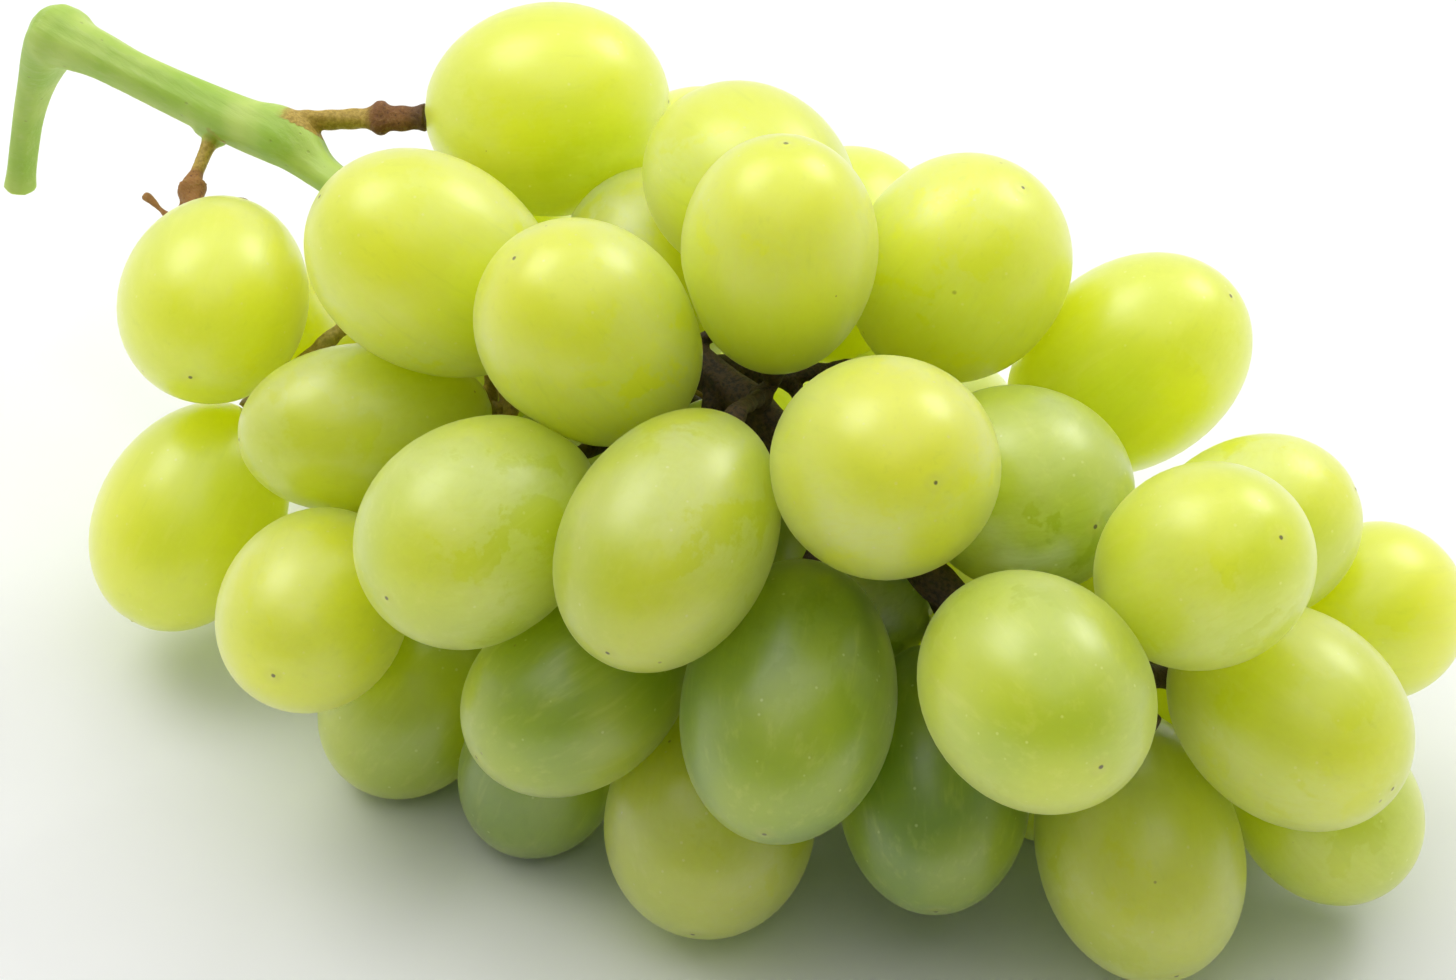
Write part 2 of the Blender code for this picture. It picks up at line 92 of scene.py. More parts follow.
# Each berry: x, y, z of its middle, the compass angle and the rise of its tip
# in degrees, its length and its girth.
BERRIES = (
    (-46, 21, 46, 40, 8, 25.5, 22.0),
    (-33, -8, 50, -140, 35, 27.0, 21.0),
    (-59, -15, 35.5, -54, -7, 23.0, 19.5),
    (-11, -9, 52, -125, 55, 25.2, 20.3),
    (-17, 20, 52, 170, -5, 24.5, 19.5),
    (-1, 8, 60, 120, 80, 24.2, 18.8),
    (4, 28, 50, 40, 60, 24.4, 21.3),
    (18, 38, 40, 40, 45, 27.5, 20.0),
    (-35, -16, 33, -120, 5, 26.0, 17.0),
    (-53, -25, 16, -80, -35, 25.0, 19.0),
    (-25, -31, 23, -61, 6, 24.0, 18.5),
    (-7, -23, 40, -85, 0, 26.5, 21.0),
    (10, -16, 44, -70, -15, 28.0, 20.0),
    (22, -2, 53, -20, 30, 25.0, 21.0),
    (24, 15, 41, -10, 15, 24.0, 20.0),
    (40, 31, 35, 50, 25, 22.5, 18.0),
    (50, 12, 49, 5, 45, 23.5, 19.0),
    (48, 41, 25, 75, -15, 19.0, 17.5),
    (56, 19, 30, 0, -5, 26.0, 20.0),
    (55, 27, 13, 25, -45, 21.5, 17.5),
    (46, -6, 43, -20, 5, 26.0, 21.0),
    (19, -12, 30, -55, -20, 29.0, 20.5),
    (-1, -21, 24, -100, -12, 24.0, 18.5),
    (13, -16, 13, -55, -30, 24.0, 20.5),
    (27, 0, 18, -45, -30, 27.0, 19.0),
    (47, 9, 14, -30, -25, 28.0, 20.0),
    (-21, -24, 9, -110, -50, 21.5, 17.5),
    (-6, -21, 8, -110, -65, 20.5, 16.0),
    (-28, 17, 39, 140, 20, 23.0, 19.5),
    (-39, 34, 34, 130, 15, 23.0, 19.5),
    (-15, 30, 39, 115, 15, 24.0, 19.5),
    (-55, -2, 22, 160, 0, 23.0, 19.0),
    (-5, 7, 28, -60, 20, 20.0, 16.5),
    (15, 7, 26, -35, -20, 22.0, 17.0),
    (27, 23, 22, -5, 15, 22.0, 17.0),
    (-53, 18, 25, 90, -50, 24.0, 19.5),
    (-21, -1, 23, -90, -70, 24.0, 19.0),
    (0, 28, 26, 85, -35, 26.0, 20.5),
    (-38, 7, 28, 20, -50, 24.0, 18.5),
    (-13, 14, 12, 50, -70, 24.5, 19.5),
    (13, 26, 11, 75, -40, 24.5, 19.5),
    (38, 31, 11, 65, -45, 24.5, 19.5),
    (-40, 21, 11, 160, -50, 24.5, 19.5),
    (4, 1, 12, 90, -60, 24.5, 19.5),
    (-40, -7, 11, -150, -55, 24.5, 19.5),
    (28, 19, 10, 30, -55, 22.0, 18.0),
    (-25, 32, 13, 95, -35, 24.5, 19.5),
)

# Two side branches leave the bare stalk, before the bunch begins, and a dried
# stub without a berry stands beside the second.
UPPER_BERRY, UPPER_START = 0, (-67.1, 4.7, 43.5)
LOWER_BERRY, LOWER_START = 2, (-76.6, 0.5, 39.3)
LOWER_KNEE, LOWER_TURN = (-73.1, -5.9, 37.2), (-70.5, -7.4, 36.6)
KNOT_R, KNOT_SPAN = 0.60, 2.2  # the swelling on each, and its half length
DRIED_STUB = (
    (-72.7, -6.5, 36.8, 0.70),
    (-73.4, -7.4, 34.7, 0.50),
    (-74.6, -7.9, 33.7, 0.40),
    (-75.9, -7.9, 33.9, 0.35),
    (-77.0, -7.9, 34.2, 0.38),
    (-77.8, -7.9, 34.4, 0.64),
    (-78.4, -7.9, 34.4, 0.50),
)


# ------------------------------------------------------------ berry settling
def plan():
    rows = np.array(BERRIES, float)
    turn, rise = np.radians(rows[:, 3]), np.radians(rows[:, 4])
    way = np.stack(
        [np.cos(rise) * np.cos(turn), np.cos(rise) * np.sin(turn), np.sin(rise)], 1
    )
    return rows[:, :3].copy(), way, rows[:, 5] / 2, rows[:, 6] / 2


def inner_spheres(centre, way, half, girth, count=5):
    """Spheres that fill a berry from inside, for finding where two berries press."""
    reach = (half**2 - girth**2) / half
    at = reach[:, None] * np.linspace(-1, 1, count)[None]
    size = girth[:, None] * np.sqrt(
        np.maximum(1 - at**2 / (half**2 - girth**2)[:, None], 0)
    )
    return centre[:, None] + at[..., None] * way[:, None], size


def half_height(way, half, girth):
    return np.sqrt((half * way[:, 2]) ** 2 + girth**2 * (1 - way[:, 2] ** 2))


def deepest(spheres, size):
    """For each pair of berries, the deepest press and its direction and place."""
    n, k = size.shape
    p, r = spheres.reshape(-1, 3), size.reshape(-1)
    apart = p[:, None] - p[None]
    length = np.linalg.norm(apart, axis=-1) + 1e-9
    press = (r[:, None] + r[None] - length).reshape(n, k, n, k)
    press = press.transpose(0, 2, 1, 3).reshape(n, n, k * k)
    best = press.argmax(-1)
    depth = np.take_along_axis(press, best[..., None], -1)[..., 0]
    first, second = best // k, best % k
    i, j = np.indices((n, n))
    a, b = spheres[i, first], spheres[j, second]
    line = a - b
    line /= np.linalg.norm(line, axis=-1, keepdims=True) + 1e-9
    depth[np.arange(n), np.arange(n)] = -99.0
    middle = b + line * (size[j, second] - depth / 2)[..., None]
    return depth, line, middle


def along(points, step=2.0):
    """A polyline of x, y, z, radius rows, resampled evenly."""
    points = np.array(points, float)
    run = np.concatenate(
        [[0], np.cumsum(np.linalg.norm(np.diff(points[:, :3], axis=0), axis=1))]
    )
    at = np.linspace(0, run[-1], max(2, int(run[-1] / step) + 1))
    return np.stack([np.interp(at, run, points[:, k]) for k in range(4)], 1)


def settle(threads=None, turns=160):
    """Berries moved apart, clear of the axis and of any threads, and down onto the surface."""
    centre, way, half, girth = plan()
    wanted = centre.copy()
    axis = along(STALK[-2:] + AXIS)[:, :3]
    clear = np.full(len(axis), AXIS_CLEAR)
    owner = np.full(len(axis), -1)
    if threads is not None:
        axis = np.vstack([axis, threads[0]])
        clear = np.append(clear, threads[1])
        owner = np.append(owner, threads[2])
    mine = owner[None] == np.repeat(np.arange(len(centre)), 5)[:, None]
    for _ in range(turns):
        spheres, size = inner_spheres(centre, way, half, girth)
        size = size * (1 - PRESS)
        depth, line, _ = deepest(spheres, size)
        push = (np.maximum(depth, 0)[..., None] * line).sum(1)
        centre += 0.35 * push
        out = spheres.reshape(-1, 1, 3) - axis[None]
        length = np.linalg.norm(out, axis=-1) + 1e-9
        short = np.maximum(size.reshape(-1, 1) + clear[None] - length, 0)
        short[mine] = 0
        away = (short[..., None] * out / length[..., None]).reshape(
            len(centre), -1, 3
        )
        most = short.reshape(len(centre), -1).max(1)
        away = away.sum(1)
        away /= np.linalg.norm(away, axis=-1, keepdims=True) + 1e-9
        centre += 0.4 * most[:, None] * away
        centre += 0.02 * (wanted - centre)
        low = half_height(way, half, girth) - REST_PRESS
        near = centre[:, 2] < low + 0.8
        centre[near, 2] = low[near]
    return centre, way, half, girth


def contact_planes(centre, way, half, girth):
    """(berry, point, outward normal) of each flat that a neighbour or the surface presses."""
    spheres, size = inner_spheres(centre, way, half, girth, 9)
    depth, line, middle = deepest(spheres, size)
    planes = [[] for _ in centre]
    for i in range(len(centre)):
        for j in range(len(centre)):
            if i != j and depth[i, j] > -0.8:
                planes[i].append((middle[i, j] + line[i, j] * GAP / 2, -line[i, j]))
        if centre[i, 2] < half_height(way, half, girth)[i]:
            planes[i].append((np.zeros(3), np.array([0.0, 0.0, -1.0])))
    return planes


# ------------------------------------------------------------- stalk routing
def inner_pole(i, berries, gap):
    centre, way, half, _ = berries
    return centre[i] - way[i] * (half[i] + gap)


def outside(points, berries):
    """Distance outside each berry, and the way out, for each point."""
    centre, way, half, girth = berries
    q = points[:, None] - centre[None]
    lengthwise = (q * way[None]).sum(-1)
    shrink = 1 / half**2 - 1 / girth**2
    m = q / (girth**2)[None, :, None] + (lengthwise * shrink)[..., None] * way[None]
    f = np.sqrt((m * q).sum(-1)) + 1e-9
    g = np.linalg.norm(m, axis=-1) + 1e-9
    return (f - 1) * f / g, m / g[..., None]


def branches(berries):
    """Every branch and small stalk as points with radii, threaded between the berries."""
    centre = berries[0]
    count = len(centre)
    axis = along(AXIS, 1.5)[:, :3]
    run = np.linspace(0, 1, len(axis))
    poles = np.array([inner_pole(i, berries, GAP) for i in range(count)])
    special = (UPPER_BERRY, LOWER_BERRY)
    starts, stations = {}, {}
    for i in range(count):
        if i in special:
            continue
        gap = np.linalg.norm(axis - poles[i], axis=1)
        near = int(gap.argmin())
        back = max(0, near - int(LEAD * gap[near] / 1.5))
        stations[i] = back
        starts[i] = axis[back]
    # Berries that hang close together share one side branch.
    free, groups = sorted(stations, key=lambda i: (stations[i], i)), []
    while free:
        lead = free.pop(0)
        group = [lead]
        others = sorted(
            (k for k in free if abs(stations[k] - stations[lead]) * 1.5 < CLUSTER_STATION),
            key=lambda k: float(np.linalg.norm(poles[k] - poles[lead])),
        )
        for k in others:
            if len(group) >= CLUSTER_MOST:
                break
            if np.linalg.norm(poles[k] - poles[lead]) < CLUSTER_SPAN:
                group.append(k)
                free.remove(k)
        groups.append(group)
    points, fixed, own, links, rests, chains = [], [], [], [], [], []

    def add(p, is_fixed, belongs=-1):
        points.append(np.array(p, float))
        fixed.append(is_fixed)
        own.append(belongs)
        return len(points) - 1

    def chain(a, b, radius, belongs, stem_way=None):
        """Points from a to b, as indices; the last but one leaves the berry straight."""
        first, last = points[a], points[b]
        target = last
        tail = []
        if stem_way is not None:
            target = last - stem_way * 1.7
            tail = [add(target, True, belongs), b]
        steps = max(2, int(np.linalg.norm(target - first) / STEP) + 1)
        ids = [a]
        for t in np.linspace(0, 1, steps + 1)[1:-1]:
            ids.append(add(first * (1 - t) + target * t, False, -1))
        ids += tail or [b]
        for u, v in zip(ids[:-1], ids[1:]):
            links.append((u, v))
        chains.append((ids, radius, belongs))
        return ids

    for group in groups:
        base = starts[group[0]]
        if len(group) == 1:
            i = group[0]
            a, b = add(base, True), add(poles[i], True, i)
            chain(a, b, PEDICEL_R, i, berries[1][i])
            continue
        base = axis[int(np.mean([stations[i] for i in group]))]
        middle = np.mean([poles[i] for i in group], axis=0)
        joint = add(base + (middle - base) * JOINT_AT, False)
        chain(add(base, True), joint, BRANCH_R, -1)
        for i in group:
            chain(joint, add(poles[i], True, i), PEDICEL_R, i, berries[1][i])
    # the two that leave the bare stalk
    a, b = add(UPPER_START, True), add(poles[UPPER_BERRY], True, UPPER_BERRY)
    chain(a, b, 1.10, UPPER_BERRY, berries[1][UPPER_BERRY])
    knee = add(LOWER_KNEE, True)
    chain(add(LOWER_START, True), knee, 1.15, -1)
    b = add(poles[LOWER_BERRY], True, LOWER_BERRY)
    ids = chain(knee, b, 1.0, LOWER_BERRY, berries[1][LOWER_BERRY])
    # past the knee it turns down behind the berry
    points[ids[1]], fixed[ids[1]] = np.array(LOWER_TURN), True

    p = np.array(points)
    held = np.array(fixed)
    links_a = np.array([u for u, _ in links])
    links_b = np.array([v for _, v in links])
    degree = np.zeros(len(p))
    np.add.at(degree, links_a, 1)
    np.add.at(degree, links_b, 1)
    owner = np.array(own)
    for _ in range(260):
        mean = np.zeros_like(p)
        np.add.at(mean, links_a, p[links_b])
        np.add.at(mean, links_b, p[links_a])
        mean /= degree[:, None]
        smooth = p + 0.25 * (mean - p)
        moved = smooth
        for _ in range(2):
            far, out = outside(moved, berries)
            short = np.maximum(PEDICEL_R + GAP + 0.35 - far, 0)
            moved = moved + 0.6 * (short[..., None] * out).sum(1)
        moved[:, 2] = np.maximum(moved[:, 2], 3.0)
        p[~held] = moved[~held]
    return p, chains


def grow():
    """Berries and branches given room in turn, until the small stalks fit between the berries."""
    berries = settle()
    for _ in range(3):
        p, chains = branches(berries)
        rows = [
            (*point, radius + GAP + 0.35, belongs)
            for ids, radius, belongs in chains
            for point in p[ids[1:-1]]
        ]
        rows = np.array(rows)
        berries = settle((rows[:, :3], rows[:, 3], rows[:, 4].astype(int)))
    return berries, branches(berries)


def clear_radius(points, radii, berries, skip_end):
    """Radii thinned wherever a neighbour leaves too little room."""
    far, _ = outside(points, berries)
    room = far.min(1) - GAP * 0.7
    if skip_end:
        room[-1] = 99.0
    return np.minimum(radii, room)


# ------------------------------------------------------------------ building
SHIFT = np.array([19.4356, -3.7382, 0.0])  # from the working frame to the row frame
VIEW_TURN, VIEW_RISE = math.radians(45.0), math.radians(40.0)
VIEW_AT = np.array([0.0, 0.0, 36.0])
VIEW_FAR = 550.0
VIEW_MM_PER_PX = 0.0977


def smooth(t):
    t = np.clip(t, 0, 1)
    return t * t * (3 - 2 * t)


def fill_attribute(mesh, name, kind, values):
    layer = mesh.attributes.new(name, kind, "POINT")
    key = "vector" if kind == "FLOAT_VECTOR" else "value"
    layer.data.foreach_set(key, np.asarray(values, np.float32).ravel())


def base_sphere(segments, rings, gather=0.42):
    """A unit sphere whose rings lie closer together at both poles."""
    shape = bmesh.new()
    bmesh.ops.create_uvsphere(shape, u_segments=segments, v_segments=rings, radius=1.0)
    for vert in shape.verts:
        polar = math.acos(max(-1.0, min(1.0, vert.co.z)))
        turn = math.atan2(vert.co.y, vert.co.x)
        polar -= gather * math.sin(2 * polar) / 2
        vert.co = (
            math.sin(polar) * math.cos(turn),
            math.sin(polar) * math.sin(turn),
            math.cos(polar),
        )
    for face in shape.faces:
        face.smooth = True
    mesh = bpy.data.meshes.new("berry_base")
    shape.to_mesh(mesh)
    shape.free()
    return mesh


def berry_mesh(base, unit, i, berries, planes):
    """One berry's finished mesh, in the row frame, in metres."""
    centre, way, half, girth = (part[i] for part in berries)
    rng = np.random.RandomState(1000 + i)
    x, y, z = unit.T
    turn = np.arctan2(y, x)
    side = np.sqrt(np.maximum(1 - z * z, 0))
    swell = 1 + EGG * z
    for k in (1, 2, 3, 4):
        size = (0.010, 0.012, 0.006, 0.003)[k - 1] * rng.uniform(0.3, 1.0)
        swell = swell + size * side * np.cos(k * turn + rng.uniform(0, 6.28))
    swell = swell + rng.uniform(-0.02, 0.02) * z * side
    local = np.stack([x * girth * swell, y * girth * swell, z * half], 1)
    rho = np.hypot(local[:, 0], local[:, 1])
    tip, root = z > 0, z < 0
    # the scar at the tip: a shallow dish with a small raised dot
    dish = -0.16 * np.exp(-((rho / 1.25) ** 2)) + 0.17 * np.exp(-((rho / 0.34) ** 2))
    local[tip, 2] += dish[tip]
    # where the small stalk enters: a dent with faint puckers
    dent = 0.40 * np.exp(-((rho / 1.9) ** 2)) + 0.05 * np.cos(
        7 * turn + i
    ) * np.exp(-(((rho - 2.3) / 1.0) ** 2))
    local[root, 2] += dent[root]
    stored = local.copy()
    axes = np.array(Vector(way).to_track_quat("Z", "Y").to_matrix())
    # the bloom is handled away on the side that faces out of the bunch
    spine = along(AXIS, 1.5)[:, :3]
    out = centre - spine[np.argmin(np.linalg.norm(spine - centre, axis=1))]
    out = out / np.linalg.norm(out) + 0.35 * way
    faces = (unit * np.array([1 / girth, 1 / girth, 1 / half])) @ axes.T
    faces /= np.linalg.norm(faces, axis=1, keepdims=True)
    rubbed = smooth((faces @ (out / np.linalg.norm(out)) - 0.45) / 0.5)
    world = local @ axes.T + centre
    for point, normal in planes:
        soft = 0.20
        if abs(normal[2] + 1) < 1e-6:
            at, soft = point, 0.12
        else:
            at = point + normal * (GAP / 2 - 0.03)
        s = (world - at) @ normal
        held = np.where(
            s < -20 * soft, s, -soft * np.logaddexp(0.0, -np.maximum(s, -20 * soft) / soft)
        )
        world = world + (held - s)[:, None] * normal
    world = (world + SHIFT) * MM
    mesh = base.copy()
    mesh.name = f"grape_{i + 1:02d}"
    mesh.vertices.foreach_set("co", world.astype(np.float32).ravel())
    fill_attribute(mesh, "g_loc", "FLOAT_VECTOR", stored)
    seed = rng.uniform(0, 1)
    count = len(stored)
    fill_attribute(mesh, "g_seed", "FLOAT", np.full(count, seed))
    # the tone attribute carries each berry's own yellowness together with painted shade
    fill_attribute(mesh, "g_tone_shade", "FLOAT", np.full(count, TONE_AND_SHADE[i] if i in TONE_AND_SHADE else rng.uniform(0.45, 0.85)))
    keeps = BLOOM[i] if i in BLOOM else rng.uniform(0.3, 0.9)
    fill_attribute(mesh, "g_bloom", "FLOAT", keeps * (1 - 0.88 * rubbed))
    mesh.update()
    return mesh


# How yellow and how light each named berry is, and how much bloom it keeps, from 0 to 1; the tone is partly the
# berry's own colour and partly painted shade, with the low berries under the bunch set darkest.
TONE_AND_SHADE = {
    0: 0.72, 1: 0.86, 2: 0.78, 3: 1.00, 4: 0.92, 5: 1.00, 6: 0.94, 7: 0.72,
    8: 0.66, 9: 0.78, 10: 0.86, 11: 0.56, 12: 0.66, 13: 0.95, 14: 0.34,
    15: 0.70, 16: 0.64, 17: 0.86, 18: 0.72, 19: 0.48, 20: 0.42, 21: 0.12,
    22: 0.24, 23: 0.70, 24: 0.05, 25: 0.68, 26: 0.38, 27: 0.05, 28: 0.85,
    29: 0.80, 30: 0.80, 31: 0.90, 32: 0.40, 33: 0.15, 34: 0.45,
}
BLOOM = {
    0: 0.25, 1: 0.75, 2: 0.45, 3: 0.75, 4: 0.80, 5: 0.55, 6: 0.60, 7: 0.35,
    8: 0.55, 9: 0.12, 10: 0.40, 11: 0.60, 12: 0.70, 13: 0.85, 14: 0.60,
    15: 0.90, 16: 0.65, 17: 0.45, 18: 0.60, 19: 0.45, 20: 0.50, 21: 0.16,
    22: 0.16, 23: 0.42, 24: 0.04, 25: 0.40, 26: 0.10, 27: 0.12,
}


# ------------------------------------------------------------------ the stalk
def curved(rows, step):
    """A smooth curve through rows of x, y, z, radius, sampled evenly."""
    rows = np.asarray(rows, float)
    if len(rows) < 3:
        return along(rows, step)
    ends = np.vstack([2 * rows[0] - rows[1], rows, 2 * rows[-1] - rows[-2]])
    found = []
    for k in range(1, len(ends) - 2):
        p0, p1, p2, p3 = ends[k - 1 : k + 3]
        count = max(2, int(np.linalg.norm((p2 - p1)[:3]) / (step * 0.5)))
        for t in np.linspace(0, 1, count, endpoint=False):
            found.append(
                0.5
                * (
                    2 * p1
                    + (p2 - p0) * t
                    + (2 * p0 - 5 * p1 + 4 * p2 - p3) * t * t
                    + (3 * p1 - p0 - 3 * p2 + p3) * t**3
                )
            )
    found.append(rows[-1])
    found = np.array(found)
    found[:, 3] = np.maximum(found[:, 3], rows[:, 3].min() * 0.9)
    return along(found, step)


def frames(points):
    """Directions along a line, and two across it that turn as little as possible."""
    ahead = np.gradient(points, axis=0)
    ahead /= np.linalg.norm(ahead, axis=1, keepdims=True) + 1e-12
    across = np.zeros_like(points)
    start = np.array([0.0, 0.0, 1.0])
    if abs(ahead[0] @ start) > 0.9:
        start = np.array([0.0, 1.0, 0.0])
    side = start - (start @ ahead[0]) * ahead[0]
    for k in range(len(points)):
        side = side - (side @ ahead[k]) * ahead[k]
        side /= np.linalg.norm(side) + 1e-12
        across[k] = side
    return ahead, across, np.cross(ahead, across)


def solid_tube(shape, line, sides, profile):
    """Adds a closed tube along rows of x, y, z, radius; profile(run, angle) scales it."""
    _, u, v = frames(line[:, :3])
    run = np.concatenate(
        [[0], np.cumsum(np.linalg.norm(np.diff(line[:, :3], axis=0), axis=1))]
    )
    angle = np.linspace(0, 2 * math.pi, sides, endpoint=False)
    rings = []
    for k, row in enumerate(line):
        size = row[3] * profile(run[k], angle)
        ring = row[:3] + size[:, None] * (
            np.cos(angle)[:, None] * u[k] + np.sin(angle)[:, None] * v[k]
        )
        rings.append([shape.verts.new(p) for p in ring])
    for a, b in zip(rings[:-1], rings[1:]):
        for k in range(sides):
            n = (k + 1) % sides
            shape.faces.new((a[k], a[n], b[n], b[k]))
    shape.faces.new(rings[0][::-1])
    shape.faces.new(rings[-1])


def stalk_object(berries, threaded):
    """The stalk, axis, side branches and small stalks, merged into one skin."""
    rng = np.random.RandomState(7)
    shape = bmesh.new()
    # the fifth column, how far inside the bunch, sets how much painted shade the stalk gets
    samples = []  # x, y, z, woodiness, how far inside, radius

    def note(line, wood, inner_shade):
        for row, w, n in zip(line, wood, inner_shade + np.zeros(len(line))):
            samples.append((*row[:3], w, n, row[3]))

    # the main stalk and axis: ridged and green outside the bunch, thinner, knobbly and brown inside it, and deep
    # inside painted near-black as shade
    line = curved(STALK + AXIS, 0.9)
    x = line[:, 0]
    wood = smooth((x + 58.0) / 12.0)
    lumps = np.zeros(len(line))
    for at in np.arange(-56, 50, 7.3):
        at = at + rng.uniform(-2, 2)
        lumps += rng.uniform(0.25, 0.65) * np.exp(-(((x - at) / rng.uniform(1.2, 2.2)) ** 2))
    line[:, 3] += lumps * wood
    # a slightly flared, squared-off cut at the hooked end
    ends = np.arange(len(line)) * 0.9
    line[:, 3] *= 1 + 0.10 * np.exp(-((ends / 1.2) ** 2))
    ridge = rng.uniform(0, 6.28, 4)

    def stalk_profile(run, angle):
        w = 0.03 + 0.012 * math.sin(run * 0.21)
        return (
            1
            + w * np.cos(5 * angle + ridge[0] + run * 0.012)
            + 0.022 * np.cos(3 * angle + ridge[1] - run * 0.02)
            + 0.035 * np.cos(2 * angle + ridge[2] + run * 0.01)
            + 0.012 * np.cos(9 * angle + ridge[3] + run * 0.03)
        )

    solid_tube(shape, line, 40, stalk_profile)
    note(line, 0.35 * wood + 0.65 * smooth((x + 30.0) / 10.0), smooth((x + 27.0) / 10.0))

    p, chains = threaded
    for k, (ids, radius, belongs) in enumerate(chains):
        rows = np.column_stack([p[ids], np.full(len(ids), radius)])
        if k >= len(chains) - 3 and belongs != LOWER_BERRY:
            # these two leave the bare stalk, so they start within it
            back = line[np.argmin(abs(x - rows[0, 0] + (3.4 if belongs >= 0 else 2.2)))]
            rows = np.vstack([np.append(back[:3], radius), rows])
        fine = curved(rows, 0.6)
        fine[:, 3] = clear_radius(fine[:, :3], np.full(len(fine), radius), berries, belongs >= 0)
        fine[:, 3] = np.maximum(fine[:, 3], 0.35)
        run = np.linspace(0, 1, len(fine))
        length = (len(fine) - 1) * 0.6
        mm = run * length
        if belongs >= 0:
            # trumpet-shaped end under the berry, with a rough lip
            way = berries[1][belongs]
            last = fine[-1].copy()
            flare = np.exp(-(((length - mm) / 0.85) ** 2))
            fine[:, 3] += (COLLAR_R * 0.98 - PEDICEL_R) * flare
            fine[-1, :3] = last[:3] + way * 0.30
        # the foot of each branch swells where it leaves what carries it
        fine[:, 3] += 0.35 * np.exp(-((mm / 1.3) ** 2)) * (radius / BRANCH_R)
        # painted shade deepens towards the middle of the bunch
        inner_shade = smooth((fine[:, 0] + 27.0) / 10.0)
        wood = 0.35 + 0.65 * smooth((fine[:, 0] + 30.0) / 10.0)
        if belongs == UPPER_BERRY:
            # a green foot, an ochre neck, a swollen node and a ringed end
            knot = length - 4.4
            fine[:, 3] = 1.04 + 0.95 * np.exp(-((np.maximum(mm - 2.4, 0) / 1.3) ** 2))
            fine[:, 3] += 0.86 * np.exp(-(((mm - knot) / 0.85) ** 2))
            fine[:, 3] += 0.36 * np.exp(-(((mm - knot - 1.8) / 0.45) ** 2))
            fine[:, 3] += 0.42 * np.exp(-(((mm - knot - 2.8) / 0.5) ** 2))
            fine[:, 3] += 0.60 * np.exp(-(((length - mm) / 0.6) ** 2))
            fine[:, 3] += 0.05 * np.sin(mm * 2.6 + 1.0)
            wood = 0.42 * smooth((mm - 2.6) / 1.0) + 0.58 * smooth((mm - knot + 1.6) / 1.6)
            # its end by the berry is painted darker as shade
            inner_shade = 0.75 * smooth((mm - length + 1.6) / 1.0)
        elif belongs == LOWER_BERRY:
            fine[:, 3] += 0.45 * np.exp(-(((mm - 0.3) / 1.0) ** 2))
            wood = np.full(len(fine), 0.9)
            inner_shade = 0.0
        elif k == len(chains) - 2:
            fine[:, 3] = 0.76 + 1.3 * np.exp(-((np.maximum(mm - 2.5, 0) / 1.4) ** 2))
            fine[:, 3] += 0.42 * smooth((mm - length + 2.0) / 1.6)
            wood = 0.36 * smooth((mm - 3.2) / 1.4) + 0.64 * smooth((mm - length + 2.6) / 2.0)
            inner_shade = 0.0
        else:
            fine[:, 3] += 0.10 * np.sin(mm * 1.9 + k) + 0.05 * np.sin(mm * 4.3 + 2 * k)
        phase = rng.uniform(0, 6.28, 3)

        def branch_profile(run, angle, phase=phase):
            return (
                1
                + 0.07 * np.cos(2 * angle + phase[0] + 0.35 * run)
                + 0.05 * np.cos(3 * angle + phase[1] - 0.5 * run)
                + 0.03 * np.cos(5 * angle + phase[2] + 0.9 * run)
            )

        solid_tube(shape, fine, 14, branch_profile)
        note(fine, wood, inner_shade)
    stub = curved(DRIED_STUB, 0.5)
    stub[:, 3] += 0.07 * np.sin(np.arange(len(stub)) * 1.7)
    solid_tube(shape, stub, 14, lambda run, angle: 1 + 0.10 * np.cos(2 * angle + run))
    note(stub, np.full(len(stub), 0.8), 0.0)

    bmesh.ops.recalc_face_normals(shape, faces=shape.faces)
    mesh = bpy.data.meshes.new("stalk")
    shape.to_mesh(mesh)
    shape.free()
    made = bpy.data.objects.new("stalk", mesh)
    bpy.context.scene.collection.objects.link(made)
    # merged into one skin, in millimetres
    skin = made.modifiers.new("skin", "REMESH")
    skin.mode = "VOXEL"
    skin.voxel_size = 0.27
    skin.use_smooth_shade = True
    ease = made.modifiers.new("ease", "SMOOTH")
    ease.factor = 0.5
    ease.iterations = 2
    graph = bpy.context.evaluated_depsgraph_get()
    merged = bpy.data.meshes.new_from_object(made.evaluated_get(graph))
    made.modifiers.clear()
    made.data = merged
    merged.name = "stalk"
    co = np.zeros(len(merged.vertices) * 3, np.float32)
    merged.vertices.foreach_get("co", co)
    co = co.reshape(-1, 3).astype(float)
    tree = kdtree.KDTree(len(samples))
    for k, s in enumerate(samples):
        tree.insert(s[:3], k)
    tree.balance()
    info = np.zeros((len(co), 2))
    table = np.array(samples)
    for k, c in enumerate(co):
        near = tree.find_n(c, 4)
        w = np.array([1 / (0.05 + max(0.0, n[2] - table[n[1], 5]) ** 2) for n in near])
        w /= w.sum()
        picks = [n[1] for n in near]
        info[k] = w @ table[picks, 3:5]
    fill_attribute(merged, "s_loc", "FLOAT_VECTOR", co)
    fill_attribute(merged, "s_wood", "FLOAT", np.clip(info[:, 0], 0, 1))
    fill_attribute(merged, "s_inner_shade", "FLOAT", np.clip(info[:, 1], 0, 1))
    merged.vertices.foreach_set("co", ((co + SHIFT) * MM).astype(np.float32).ravel())
    merged.update()
    for poly in merged.polygons:
        poly.use_smooth = True
    return made


